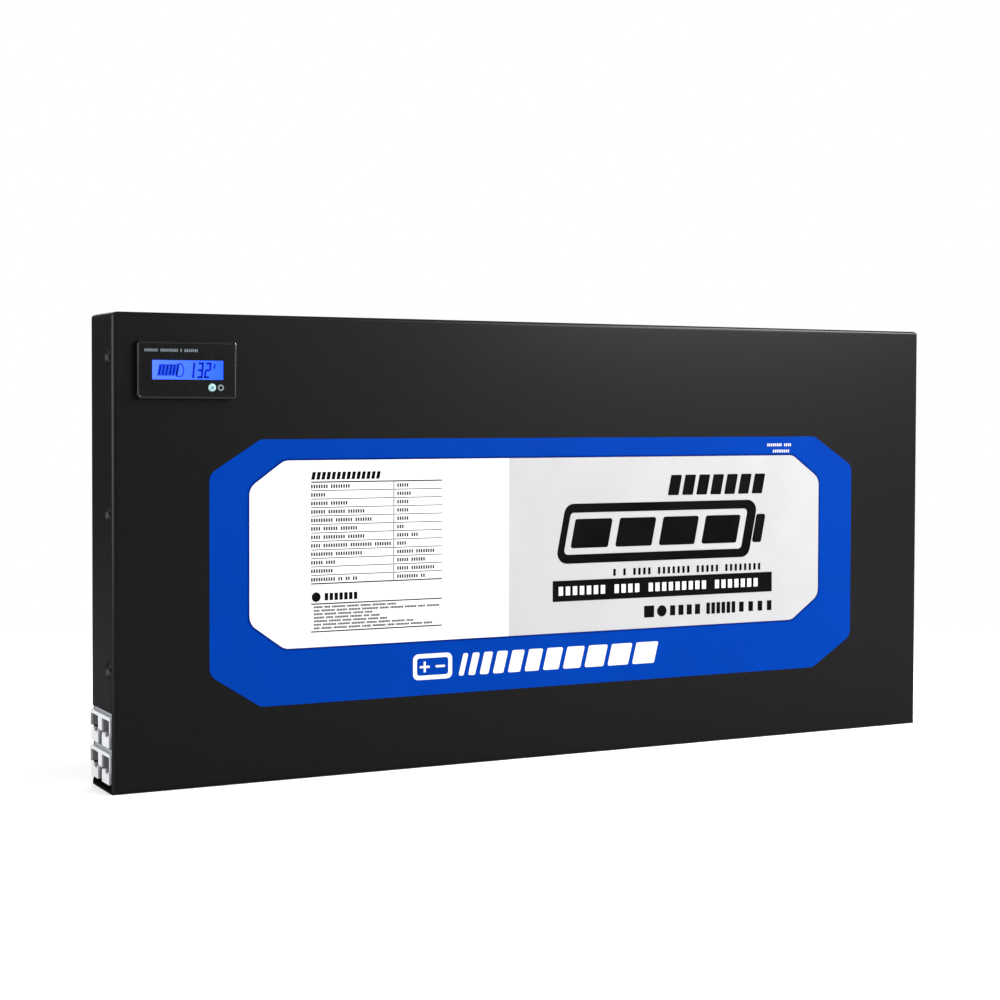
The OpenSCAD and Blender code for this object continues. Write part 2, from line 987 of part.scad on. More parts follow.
// Flat bundle of sense leads, from the plug along the top to every link
module balance_harness() {
    y0 = -8;
    y1 = -6.5;
    low = tab_top + 1;
    high = low + 8;
    x0 = board_x + 40;
    color("#8c2f2f") {
        box([x0, y0, board_z + 112], [x0 + 8, y1, high]);
        box([x0, y0, low], [cell_x[3] - tab_off, y1, high]);
        for (i = [0:2])
            sense_drop((cell_x[i] + cell_x[i + 1]) / 2, y1, low);
    }
}

// Short flat lead from the bundle back and down onto a link's upper edge
module sense_drop(x, y_bundle, z) {
    lead_t = 1.5;
    link_y = -tab_t / 2;
    box([x - 2, y_bundle - lead_t, z], [x + 2, link_y, z + lead_t]);
    box([x - 2, link_y - link_t, link_z + link_h], [x + 2, link_y, z + lead_t]);
}

// Strap from the first negative tab to the upper pad of the board
module pack_negative_strap() {
    x0 = bay_right - 14;
    x1 = cell_x[0] - tab_off + tab_w / 2;
    pad_z = board_z + board_h - 16;
    y1 = -tab_t / 2;
    color(copper) {
        box([x0, y1 - link_t, link_z], [x1, y1, link_z + link_h]);
        box([x0 - 4, y1 - link_t, pad_z], [x0, y1, link_z + link_h]);
        box([x0 - 4, y1 - link_t, pad_z], [x0, board_y, pad_z + 12]);
    }
}

// Insulated cable along the top of the cells and down to the connectors
module pack_positive_cable() {
    run_left = cable_down_x + cable_bend_r;
    run_right = cell_x[3] + tab_off - 22;
    drop_top = cable_z - cable_bend_r;
    drop_low = plus_lug_z + lug_plate_h + 4;
    color("#b01c1c") {
        translate([run_left, cable_y, cable_z])
            rotate([0, 90, 0])
                cylinder(h = run_right - run_left, r = cable_r);
        translate([run_left, cable_y, drop_top])
            rotate([90, 0, 0])
                rotate([0, 0, 90])
                    rotate_extrude(angle = 90)
                        translate([cable_bend_r, 0])
                            circle(cable_r);
        translate([cable_down_x, cable_y, drop_low])
            cylinder(h = drop_top - drop_low, r = cable_r);
    }
}

// Lug welded to the last positive tab
module positive_lug() {
    barrel_x1 = cell_x[3] + tab_off - 18;
    color(silver) {
        difference() {
            translate([barrel_x1 - barrel_l, cable_y, cable_z])
                rotate([0, 90, 0])
                    cylinder(h = barrel_l + 4, r = lug_r);
            translate([barrel_x1 - barrel_l - 1, cable_y, cable_z])
                rotate([0, 90, 0])
                    cylinder(h = barrel_l + 1, r = cable_r + slip);
        }
        box([barrel_x1, -tab_t / 2 - 3, cable_z - 6], [barrel_x1 + 30, -tab_t / 2, cable_z + 6]);
    }
}

// Lug that bolts the cable to the positive bus
module junction_lug() {
    plate_x = bus_x + bus_t;
    shelf_z = plus_lug_z + lug_plate_h - 4;
    color(silver)
    difference() {
        union() {
            box([plate_x, cable_y - lug_r, plus_lug_z],
                [plate_x + bus_t, cable_y + lug_r, shelf_z + 4]);
            box([plate_x, cable_y - lug_r, shelf_z], [cable_down_x, cable_y + lug_r, shelf_z + 4]);
            translate([cable_down_x, cable_y, shelf_z])
                cylinder(h = barrel_l + 4, r = lug_r);
        }
        translate([cable_down_x, cable_y, shelf_z + 4])
            cylinder(h = barrel_l + 1, r = cable_r + slip);
        junction_bore();
    }
}

module junction_bolt() {
    head_t = 4;
    stack_x0 = bus_x;
    stack_x1 = bus_x + 2 * bus_t;
    color(steel)
    translate([0, cable_y, plus_lug_z + 7])
        rotate([0, 90, 0]) {
            translate([0, 0, stack_x0 - 1])
                cylinder(h = 2 * bus_t + 2, r = 2.95);
            translate([0, 0, stack_x1])
                cylinder(h = head_t, r = 5.7, $fn = 6);
            translate([0, 0, stack_x0 - head_t])
                cylinder(h = head_t, r = 5.7, $fn = 6);
        }
}

// ---------- assembly ----------

rear_tray();
front_cover();
left_nut_bar();
right_nut_bar();
top_nut_bar();
bottom_nut_bar();
left_screws();
right_screws();
top_screws();
bottom_screws();
front_label();
connector_cradle();
upper_connector_housing();
lower_connector_housing();
positive_contacts();
negative_contacts();
contact_springs();
connector_pins();
positive_bus();
negative_bus();
meter_bezel();
meter_window();
lcd_panel();
meter_pod();
meter_clips();
meter_board();
button_switch();
meter_button();
meter_lead();
cell_1();
cell_2();
cell_3();
cell_4();
positive_tabs();
negative_tabs();
series_links();
front_foam();
rear_foam();
base_pad();
end_pad();
cell_dividers();
bay_partition();
tab_cover();
bms_board();
bms_heat_sink();
bms_transistors();
bms_standoffs();
bms_screws();
bms_chips();
current_shunt();
balance_plug();
balance_harness();
pack_negative_strap();
pack_positive_cable();
positive_lug();
junction_lug();
junction_bolt();
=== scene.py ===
import json
import math

import bpy
import bmesh
from mathutils import Matrix, Vector


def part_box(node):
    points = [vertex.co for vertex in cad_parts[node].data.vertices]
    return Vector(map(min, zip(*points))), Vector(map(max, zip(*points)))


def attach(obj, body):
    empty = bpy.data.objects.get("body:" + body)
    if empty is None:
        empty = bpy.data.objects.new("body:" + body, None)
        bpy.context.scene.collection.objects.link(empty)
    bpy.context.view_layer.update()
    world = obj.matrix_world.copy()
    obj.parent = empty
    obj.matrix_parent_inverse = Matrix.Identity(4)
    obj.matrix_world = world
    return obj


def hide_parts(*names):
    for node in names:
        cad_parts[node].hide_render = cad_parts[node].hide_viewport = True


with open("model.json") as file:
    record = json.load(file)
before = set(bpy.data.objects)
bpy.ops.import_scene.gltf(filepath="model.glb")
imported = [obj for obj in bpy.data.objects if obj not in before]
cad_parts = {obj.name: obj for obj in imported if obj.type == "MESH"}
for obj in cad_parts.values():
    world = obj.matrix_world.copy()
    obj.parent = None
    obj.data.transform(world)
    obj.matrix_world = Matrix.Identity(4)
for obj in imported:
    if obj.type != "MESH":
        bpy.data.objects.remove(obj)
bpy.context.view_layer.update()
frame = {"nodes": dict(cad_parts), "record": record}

# Slim wall-type battery. Metres throughout: +X along the case, the front face looks
# towards -Y, +Z up. Drawings on the front face are laid out in millimetres, u from the
# case's left edge and v down from its top edge.

MM = 0.001
COVER_LOW, COVER_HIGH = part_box("front_cover")
LEFT, FACE_Y, BOTTOM = COVER_LOW
TOP = COVER_HIGH[2]
LABEL_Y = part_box("front_label")[0][1]
INK = 0.03 * MM


def srgb(red, green, blue):
    """Linear colour of an sRGB triple given as 0 to 255."""
    def linear(value):
        value /= 255
        if value <= 0.04045:
            return value / 12.92
        return ((value + 0.055) / 1.055) ** 2.4
    return (linear(red), linear(green), linear(blue), 1.0)


# ---------------------------------------------------------------- materials

def shader(name):
    """A new node material and its Principled shader."""
    material = bpy.data.materials.new(name)
    material.use_nodes = True
    return material, material.node_tree, material.node_tree.nodes["Principled BSDF"]


def noise(tree, scale, detail=2.0, roughness=0.5, stretch=(1, 1, 1)):
    """Noise over the object's own coordinates, in features per metre."""
    coordinates = tree.nodes.new("ShaderNodeTexCoord")
    mapping = tree.nodes.new("ShaderNodeMapping")
    mapping.inputs["Scale"].default_value = stretch
    texture = tree.nodes.new("ShaderNodeTexNoise")
    texture.inputs["Scale"].default_value = scale
    texture.inputs["Detail"].default_value = detail
    texture.inputs["Roughness"].default_value = roughness
    tree.links.new(coordinates.outputs["Object"], mapping.inputs["Vector"])
    tree.links.new(mapping.outputs["Vector"], texture.inputs["Vector"])
    return texture.outputs["Fac"]


def object_axis(tree, axis, output="Object"):
    """One axis of the object's own coordinates, or of its normal."""
    split = tree.nodes.new("ShaderNodeSeparateXYZ")
    coordinates = tree.nodes.new("ShaderNodeTexCoord")
    tree.links.new(coordinates.outputs[output], split.inputs["Vector"])
    return split.outputs[axis]


def spread(tree, value, low, high, out_low=0.0, out_high=1.0):
    """Value stretched from the range low..high to out_low..out_high, and held there."""
    node = tree.nodes.new("ShaderNodeMapRange")
    node.inputs["From Min"].default_value = low
    node.inputs["From Max"].default_value = high
    node.inputs["To Min"].default_value = out_low
    node.inputs["To Max"].default_value = out_high
    tree.links.new(value, node.inputs["Value"])
    return node.outputs["Result"]


def blend_colour(tree, factor, first, second):
    """Mix of two colours; each is a tuple or a socket."""
    node = tree.nodes.new("ShaderNodeMix")
    node.data_type = "RGBA"
    for name, colour in (("A", first), ("B", second)):
        target = next(s for s in node.inputs if s.name == name and s.type == "RGBA")
        if isinstance(colour, bpy.types.NodeSocket):
            tree.links.new(colour, target)
        else:
            target.default_value = colour
    tree.links.new(factor, next(s for s in node.inputs if s.name == "Factor"))
    return next(s for s in node.outputs if s.type == "RGBA")


def add_bump(tree, bsdf, height, strength, distance, under=None):
    """Bump from a height socket, on top of another bump's normal."""
    node = tree.nodes.new("ShaderNodeBump")
    node.inputs["Strength"].default_value = strength
    node.inputs["Distance"].default_value = distance
    tree.links.new(height, node.inputs["Height"])
    if under:
        tree.links.new(under, node.inputs["Normal"])
    tree.links.new(node.outputs["Normal"], bsdf.inputs["Normal"])
    return node.outputs["Normal"]


def patches(tree, scale):
    """Broad soft-edged patches, 0 to 1, in features per metre."""
    return spread(tree, noise(tree, scale, 3.0), 0.35, 0.65)


def vary_roughness(tree, bsdf, grain, low, high):
    """Roughness from low to high with the grain."""
    tree.links.new(spread(tree, grain, 0.3, 0.7, low, high), bsdf.inputs["Roughness"])


def surface(name, colour, shade, grain=600, patch=9, rough=(0.4, 0.55), bump=0.15,
            depth=0.05, metallic=0.0, specular=0.5, stretch=(1, 1, 1)):
    """Two-tone surface: broad patches of colour, fine grain in the roughness and the bump."""
    material, tree, bsdf = shader(name)
    broad = patches(tree, patch)
    fine = noise(tree, grain, 2.0, 0.6, stretch)
    tree.links.new(blend_colour(tree, broad, colour, shade), bsdf.inputs["Base Color"])
    vary_roughness(tree, bsdf, fine, *rough)
    add_bump(tree, bsdf, fine, bump, depth * MM)
    bsdf.inputs["Metallic"].default_value = metallic
    bsdf.inputs["Specular IOR Level"].default_value = specular
    return material


def gloss_by_angle(tree, socket, facing_on, glancing):
    """Gloss that falls from facing_on to glancing as the surface turns away."""
    weight = tree.nodes.new("ShaderNodeLayerWeight")
    weight.inputs["Blend"].default_value = 0.5
    turned = spread(tree, weight.outputs["Facing"], 0.45, 0.72, facing_on, glancing)
    tree.links.new(turned, socket)


def powder_coat():
    """Satin black powder coat: fine pebbled skin with a slow change of shade."""
    material, tree, bsdf = shader("powder_coat")
    speck = spread(tree, noise(tree, 1400, 2.0, 0.7), 0.45, 0.65)
    tone = blend_colour(tree, patches(tree, 4.0), srgb(1, 1, 1), srgb(4, 4, 5))
    colour = blend_colour(tree, speck, tone, srgb(9, 9, 10))
    tree.links.new(colour, bsdf.inputs["Base Color"])
    pebble = noise(tree, 900, 2.0, 0.6)
    vary_roughness(tree, bsdf, pebble, 0.4, 0.48)
    skin = add_bump(tree, bsdf, pebble, 0.3, 0.05 * MM)
    add_bump(tree, bsdf, noise(tree, 170, 3.0), 0.22, 0.2 * MM, skin)
    gloss_by_angle(tree, bsdf.inputs["Specular IOR Level"], 0.11, 0.03)
    gloss_by_angle(tree, bsdf.inputs["Coat Weight"], 0.13, 0.03)
    bsdf.inputs["Coat Roughness"].default_value = 0.2
    return material


def printed(name, colour, shade, rough=(0.32, 0.42)):
    """Printed vinyl: faint mottle in the ink and a fine orange peel."""
    return surface(name, colour, shade, grain=1100, patch=30, rough=rough, bump=0.08,
                   depth=0.03, specular=0.02)


def lit_display():
    """Blue backlit display: deeper blue towards its right end, with a fine dot grid."""
    material, tree, bsdf = shader("lcd_blue")
    low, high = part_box("lcd_panel")
    across = spread(tree, object_axis(tree, "X"), low[0], high[0])
    grid = noise(tree, 2600, 0.0)
    glow = blend_colour(tree, across, srgb(112, 148, 250), srgb(58, 118, 246))
    tone = blend_colour(tree, spread(tree, grid, 0.3, 0.7, 0.0, 0.25), glow, srgb(56, 126, 248))
    tree.links.new(tone, bsdf.inputs["Base Color"])
    tree.links.new(tone, bsdf.inputs["Emission Color"])
    bsdf.inputs["Emission Strength"].default_value = 0.8
    bsdf.inputs["Roughness"].default_value = 0.4
    return material


def moulded_white():
    """White nylon mouldings: plain white outer faces; deeper into the cavities a painted shade
    greys them, paler where faces turn upwards (painted light).
    """
    material, tree, bsdf = shader("connector_white")
    face_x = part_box("upper_connector_housing")[0][0]
    # The white's own tone, with no painted shade, on the faces at the front.
    clean = blend_colour(tree, patches(tree, 60), srgb(198, 199, 201), srgb(188, 190, 193))
    # Painted shade: from 0.4 mm behind the front face the colour turns grey, fully by 1.8 mm, in
    # place of the shade inside the cavities.
    depth = spread(tree, object_axis(tree, "X"), face_x + 0.4 * MM, face_x + 1.8 * MM)
    # Painted light: within that painted shade, faces turned upwards are painted paler, as if lit
    # from above.
    painted_top_light = spread(tree, object_axis(tree, "Z", "Normal"), 0.4, 0.9)
    painted_cavity_shade = blend_colour(tree, painted_top_light, srgb(112, 114, 117), srgb(176, 178, 181))
    colour = blend_colour(tree, depth, clean, painted_cavity_shade)
    tree.links.new(colour, bsdf.inputs["Base Color"])
    grain = noise(tree, 700, 2.0, 0.6)
    vary_roughness(tree, bsdf, grain, 0.42, 0.55)
    add_bump(tree, bsdf, grain, 0.1, 0.05 * MM)
    return material


def clear_window():
    """Clear display window with a faint haze in its gloss."""
    material, tree, bsdf = shader("clear_window")
    vary_roughness(tree, bsdf, noise(tree, 250), 0.03, 0.09)
    bsdf.inputs["Base Color"].default_value = (0.92, 0.95, 1.0, 1.0)
    bsdf.inputs["Transmission Weight"].default_value = 1.0
    bsdf.inputs["IOR"].default_value = 1.2
    return material


def build_materials():
    """Every finish by name: the record's own first, then those of the added pieces."""
    finishes = {
        "powder_coat": powder_coat(),
        "zinc_steel": surface("zinc_steel", srgb(170, 172, 174), srgb(150, 153, 157),
                              grain=420, rough=(0.28, 0.42), metallic=1.0),
        "black_steel": surface("black_steel", srgb(10, 10, 11), srgb(18, 18, 20),
                               grain=900, patch=120, rough=(0.3, 0.45), metallic=0.2),
        "label_blue": printed("label_blue", srgb(0, 57, 156), srgb(0, 55, 152)),
        "grey_nylon": surface("grey_nylon", srgb(150, 153, 157), srgb(134, 138, 142), grain=800),
        "connector_white": moulded_white(),
        "silver_plate": surface("silver_plate", srgb(205, 206, 204), srgb(184, 186, 186),
                                grain=500, patch=80, rough=(0.22, 0.36), metallic=1.0),
        "spring_steel": surface("spring_steel", srgb(176, 178, 180), srgb(158, 160, 164),
                                grain=500, rough=(0.25, 0.38), metallic=1.0),
        "copper": surface("copper", srgb(200, 122, 84), srgb(176, 98, 64),
                          grain=300, patch=40, rough=(0.3, 0.48), metallic=1.0),
        "black_plastic": surface("black_plastic", srgb(5, 5, 6), srgb(8, 8, 9), grain=900,
                                 patch=30, rough=(0.2, 0.28), bump=0.05, specular=0.3),
        "clear_window": clear_window(),
        "lcd_blue": lit_display(),
        "circuit_board": surface("circuit_board", srgb(22, 84, 46), srgb(16, 66, 36),
                                 grain=500, patch=160, rough=(0.3, 0.45)),
        "button_teal": surface("button_teal", srgb(184, 212, 214), srgb(150, 190, 194),
                               grain=900, patch=500, rough=(0.3, 0.4), bump=0.06),
        "red_insulation": surface("red_insulation", srgb(170, 26, 26), srgb(146, 20, 20),
                                  grain=500, rough=(0.5, 0.65)),
        "cell_pouch": surface("cell_pouch", srgb(196, 200, 204), srgb(180, 184, 189),
                              grain=260, patch=20, rough=(0.3, 0.45), metallic=0.7),
        "tab_aluminium": surface("tab_aluminium", srgb(214, 216, 219), srgb(196, 199, 203),
                                 grain=400, rough=(0.3, 0.42), metallic=1.0,
                                 stretch=(1, 1, 12)),
        "grey_foam": surface("grey_foam", srgb(84, 88, 92), srgb(70, 74, 78),
                             grain=700, rough=(0.8, 0.95), bump=0.6, depth=0.3),
        "fibre_sheet": surface("fibre_sheet", srgb(214, 192, 128), srgb(196, 172, 108),
                               grain=350, patch=25, rough=(0.6, 0.75)),
        "heat_sink": surface("heat_sink", srgb(188, 191, 195), srgb(170, 174, 179),
                             grain=300, rough=(0.32, 0.46), metallic=1.0, stretch=(12, 1, 1)),
        "brass": surface("brass", srgb(206, 170, 84), srgb(184, 148, 66),
                         grain=500, rough=(0.25, 0.38), metallic=1.0),
        "shunt_metal": surface("shunt_metal", srgb(150, 140, 124), srgb(132, 122, 108),
                               grain=500, rough=(0.3, 0.42), metallic=1.0),
    }
    finishes["label_white"] = printed("label_white", srgb(240, 240, 240), srgb(235, 235, 236))
    finishes["label_grey"] = printed("label_grey", srgb(190, 190, 191), srgb(186, 186, 187))
    finishes["label_black"] = printed("label_black", srgb(8, 8, 9), srgb(14, 14, 15))
    finishes["label_navy"] = printed("label_navy", srgb(0, 34, 116), srgb(0, 30, 104))
    finishes["lcd_segment"] = printed("lcd_segment", srgb(4, 30, 176), srgb(8, 38, 188))
    finishes["meter_rim"] = surface("meter_rim", srgb(5, 5, 6), srgb(8, 8, 9), grain=900,
                                    patch=30, rough=(0.1, 0.16), bump=0.01, specular=0.7)
    finishes["button_centre"] = printed("button_centre", srgb(112, 160, 166),
                                        srgb(96, 146, 152))
    finishes["lcd_shade"] = printed("lcd_shade", srgb(44, 98, 238), srgb(52, 106, 242))
    finishes["meter_print"] = printed("meter_print", srgb(132, 142, 148), srgb(118, 128, 134))
    return finishes


# ---------------------------------------------------------------- mesh helpers

def add_object(name, data):
    """A new object in the scene."""
    thing = bpy.data.objects.new(name, data)
    bpy.context.collection.objects.link(thing)
    return thing


def finish_piece(name, work, finish, body="case"):
    """Turns a bmesh into a piece with its finish, riding on a body."""
    bmesh.ops.recalc_face_normals(work, faces=work.faces)
    mesh = bpy.data.meshes.new(name)
    work.to_mesh(mesh)
    work.free()
    piece = add_object(name, mesh)
    mesh.materials.append(finishes[finish])
    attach(piece, body)
    return piece


def smooth(work):
    for face in work.faces:
        face.smooth = True


def face_point(u, y, v):
    """Point at (u, v) millimetres on the front face's drawing, at depth y."""
    return (LEFT + u * MM, y, TOP - v * MM)


def bands(first, second):
    """Corner quads between two loops of the same length."""
    count = len(first)
    for i in range(count):
        j = (i + 1) % count
        yield first[i], first[j], second[j], second[i]


def flat_art(name, shapes, finish, level, base_y, body="case"):
    """Thin raised print: closed prisms over outlines at (u, v), level inks above base_y."""
    front = base_y - level * INK
    rear = base_y + 0.2 * INK
    work = bmesh.new()
    for outline, hole in shapes:
        loops = [[work.verts.new(face_point(u, y, v)) for u, v in loop]
                 for loop in ((outline, hole) if hole else (outline,))
                 for y in (front, rear)]
        quads = list(bands(loops[0], loops[1]))
        if hole:
            quads += bands(loops[3], loops[2])
            quads += bands(loops[2], loops[0])
            quads += bands(loops[1], loops[3])
        else:
            quads += [loops[0], loops[1][::-1]]
        for corners in quads:
            work.faces.new(corners)
    finish_piece(name, work, finish, body)


def lathe(name, profile, centre, finish, body, steps=48):
    """Turned solid about an axis along Y: profile of (radius, y) from centre to rim and back."""
    work = bmesh.new()
    rings = []
    for radius, y in profile:
        if radius == 0:
            rings.append([work.verts.new((centre[0], y, centre[1]))])
            continue
        rings.append([work.verts.new((centre[0] + radius * math.cos(a), y,
                                      centre[1] + radius * math.sin(a)))
                      for a in (2 * math.pi * i / steps for i in range(steps))])
    for first, second in zip(rings, rings[1:]):
        for i in range(steps):
            j = (i + 1) % steps
            corners = [first[i % len(first)], first[j % len(first)],
                       second[j % len(second)], second[i % len(second)]]
            work.faces.new(list(dict.fromkeys(corners)))
    smooth(work)
    return finish_piece(name, work, finish, body)


# Outlines at (u, v) in millimetres; each shape is (outline, hole or None)

def slab(u0, v0, u1, v1, lean=0.0):
    """Rectangle, its top leaning right by lean times its height."""
    shift = lean * (v1 - v0)
    return [(u0 + shift, v0), (u1 + shift, v0), (u1, v1), (u0, v1)]


def rounded(outline, radius, steps=6):
    """Outline with each corner replaced by an arc."""
    result = []
    count = len(outline)
    for i, corner in enumerate(outline):
        here = Vector(corner)
        before = (Vector(outline[i - 1]) - here).normalized()
        after = (Vector(outline[(i + 1) % count]) - here).normalized()
        half = before.angle(after) / 2
        reach = radius / math.tan(half)
        centre = here + (before + after).normalized() * radius / math.sin(half)
        start = here + before * reach - centre
        end = here + after * reach - centre
        sweep = start.angle(end)
        for k in range(steps + 1):
            t = k / steps
            arm = (start * math.sin((1 - t) * sweep) + end * math.sin(t * sweep)) / math.sin(sweep)
            result.append(tuple(centre + arm))
    return result


def disc(u, v, radius, steps=32):
    """Round outline about (u, v)."""
    return [(u + radius * math.cos(2 * math.pi * i / steps),
             v + radius * math.sin(2 * math.pi * i / steps)) for i in range(steps)]


def octagon(u0, v0, u1, v1, cut_u, cut_v, radius):
    """Rectangle with cut corners, softened by radius."""
    return rounded([
        (u0 + cut_u, v0), (u1 - cut_u, v0), (u1, v0 + cut_v), (u1, v1 - cut_v),
        (u1 - cut_u, v1), (u0 + cut_u, v1), (u0, v1 - cut_v), (u0, v0 + cut_v)], radius)


def blocks(u, v, height, pitch, words, lean=0.0, fill=0.45, radius=0.0):
    """A line of even blocks in groups, in place of printing."""
    shapes = []
    place = u
    for word in words:
        for _ in range(word):
            outline = slab(place, v, place + fill * pitch, v + height, lean)
            shapes.append((rounded(outline, radius, 3) if radius else outline, None))
            place += pitch
        place += pitch
    return shapes


def cut_at(outline, u_cut, side):
    """The part of a convex outline left (side -1) or right (side 1) of u_cut."""
    kept = []
    for first, second in zip(outline, outline[1:] + outline[:1]):
        before, after = first[0] - u_cut, second[0] - u_cut
        if side * before >= 0:
            kept.append(first)
        if before * after < 0:
            t = before / (before - after)
            kept.append((u_cut, first[1] + t * (second[1] - first[1])))
    return kept


# ---------------------------------------------------------------- label

PANEL = (93.7, 97.8, 562.7, 225.4)
PANEL_CUT_U, PANEL_CUT_V, PANEL_CORNER = 25, 18, 10
PANEL_RIM = 1.3
PANEL_SPLIT = 290.0
ART_LEAN = 0.2
TABLE_LEFT, TABLE_SPLIT, TABLE_RIGHT = 138.0, 199.7, 237.0
TABLE_TOP, ROW_PITCH = 112.7, 5.78
RULE, FINE_RULE = 0.42, 0.27
WORD_HEIGHT, WORD_PITCH, WORD_FILL = 2.5, 1.82, 0.62
NOTE_TOP, NOTE_BOTTOM, NOTE_PITCH = 195.9, 214.9, 2.4
ROW_WORDS = [
    ((7, 8), (5,)), ((6,), (6,)), ((7, 7), (5,)), ((6, 7, 7), (5,)), ((9, 7, 7), (5,)),
    ((4, 6, 7), (3,)), ((4, 9, 7), (5, 3)), ((4, 10, 9, 7), (4,)), ((9, 11), (7, 8)),
    ((5, 4), (5, 6)), ((9,), (5, 10)), ((10, 2, 2, 2), (9, 2))]
NOTE_WORDS = [(6, 4, 9, 8, 7, 9, 6), (4, 9, 7, 8, 11, 6, 9, 8, 5, 9), (6, 8, 9, 7, 5),
              (7, 5, 9, 8, 4, 6), (9, 8, 6, 9, 7, 5), (5, 9, 8, 9, 7, 8, 9, 5),
              (4, 7, 9, 8, 6, 9, 5, 9, 8, 6)]


def rule(v, half):
    """Line across the table's width, half its thickness each side of v."""
    return slab(TABLE_LEFT, v - half, TABLE_RIGHT, v + half), None


def table_art():
    """Ruled table with a heading, filled with plain blocks in place of wording."""
    shapes = blocks(TABLE_LEFT, 105.8, 5.2, 3.7, (14,), lean=ART_LEAN, fill=0.7)
    last = len(ROW_WORDS)
    shapes += [rule(TABLE_TOP + k * ROW_PITCH, RULE if k in (0, last) else FINE_RULE)
               for k in range(last + 1)]
    for k, row in enumerate(ROW_WORDS):
        top = TABLE_TOP + k * ROW_PITCH
        shapes.append((slab(TABLE_SPLIT - 0.3, top + 0.5, TABLE_SPLIT + 0.3,
                            top + ROW_PITCH - 0.5), None))
        for start, words in zip((TABLE_LEFT, TABLE_SPLIT + 2.6), row):
            shapes += blocks(start, top + 1.7, WORD_HEIGHT, WORD_PITCH, words, fill=WORD_FILL)
    return shapes


def note_art():
    """Round bullet, heading blocks and fine print between two rules."""
    shapes = [(disc(141.7, 191.2, 3.3), None)]
    shapes += blocks(148, 188.7, 5, 3.6, (7,), fill=0.72)
    shapes += [rule(NOTE_TOP, RULE), rule(NOTE_BOTTOM, RULE)]
    for k, words in enumerate(NOTE_WORDS):
        shapes += blocks(TABLE_LEFT + 2, NOTE_TOP + 1.5 + NOTE_PITCH * k, 1.45, 1.12, words,
                         fill=0.74)
    return shapes


def gauge_art():
    """Large leaning battery pictogram with four full cells."""
    left, right, high, low = 328, 497, 131.5, 175.2
    rim, side_rim = 6.6, 6.9
    outer = rounded(slab(left, high, right, low, ART_LEAN), 8)
    inner = rounded(slab(left + side_rim, high + rim, right - side_rim, low - rim, ART_LEAN), 3)
    terminal = slab(right + 3, high + 11, right + 11.5, low - 11, ART_LEAN)
    shapes = [(outer, inner), (rounded(terminal, 2), None)]
    first, width, gap, inset = 340.6, 31.6, 6.2, 11.2
    for k in range(4):
        start = first + k * (width + gap)
        cell = slab(start, high + inset, start + width, low - inset, ART_LEAN)
        shapes.append((rounded(cell, 1.8), None))
    return shapes


def right_art():
    """Bold blocks above the pictogram, a thin line below it, the banner and plain marks."""
    shapes = blocks(424, 111.6, 15.2, 12.6, (7,), lean=ART_LEAN, fill=0.76, radius=0.8)
    shapes += gauge_art()
    shapes += blocks(377, 180.2, 5.2, 4.3, (1, 1, 4, 7, 5, 8), fill=0.5)
    shapes.append((slab(326, 187.4, 519, 202.6), None))
    shapes.append((slab(403.8, 208.8, 412.6, 217.6), None))
    shapes.append((disc(419.4, 213.2, 4.2), None))
    shapes += blocks(426.6, 209.4, 7.6, 7.4, (4,), fill=0.62)
    shapes += blocks(459, 208.8, 8.6, 4.6, (6,), fill=0.72)
    shapes += blocks(488.8, 209.4, 7.6, 8.6, (4,), fill=0.5)
    return shapes


def emblem_art():
    """Battery outline with a plus and a minus, and slanted stripes that grow wider."""
    outline = rounded(slab(214.6, 234.6, 245, 252.8), 4)
    shapes = [(outline, rounded(slab(217.6, 237.6, 242, 249.8), 2))]
    plus_and_minus = (slab(219.8, 243, 227.4, 244.6), slab(222.8, 240, 224.4, 243),
                      slab(222.8, 244.6, 224.4, 247.6), slab(232.2, 243, 239.4, 244.6))
    shapes += [(bar, None) for bar in plus_and_minus]
    place, width = 250.0, 4.0
    for _ in range(11):
        stripe = slab(place, 235.8, place + width, 251.6, 0.25)
        shapes.append((rounded(stripe, 1.2, 3), None))
        place += width + 3.6
        width += 1.5
    return shapes


def white_art():
    """White print on the blue border and the banner."""
    shapes = blocks(331, 191.8, 6.4, 5.9, (7, 4, 9, 7), fill=0.62)
    shapes += blocks(514, 88.6, 2.2, 1.75, (8, 4), fill=0.5)
    shapes += blocks(519.3, 93.4, 2.2, 1.75, (9,), fill=0.5)
    return shapes + emblem_art()


def build_label():
    """Layers of the label: panel rim, the two panels, black print, white print."""
    panel = octagon(*PANEL, PANEL_CUT_U, PANEL_CUT_V, PANEL_CORNER)
    u0, v0, u1, v1 = PANEL
    rim = octagon(u0 - PANEL_RIM, v0 - PANEL_RIM, u1 + PANEL_RIM, v1 + PANEL_RIM,
                  PANEL_CUT_U + 0.4 * PANEL_RIM, PANEL_CUT_V + 0.4 * PANEL_RIM,
                  PANEL_CORNER + PANEL_RIM)
    white, grey = (cut_at(panel, PANEL_SPLIT, side) for side in (-1, 1))
    flat_art("label_panel_rim", [(rim, None)], "label_navy", 0.5, LABEL_Y)
    flat_art("label_white_panel", [(white, None)], "label_white", 1, LABEL_Y)
    flat_art("label_grey_panel", [(grey, None)], "label_grey", 1, LABEL_Y)
    flat_art("label_table_print", table_art(), "label_black", 2, LABEL_Y)
    flat_art("label_note_print", note_art(), "label_black", 2, LABEL_Y)
    flat_art("label_bold_print", right_art(), "label_black", 2, LABEL_Y)
    flat_art("label_white_print", white_art(), "label_white", 3, LABEL_Y)


# ---------------------------------------------------------------- meter

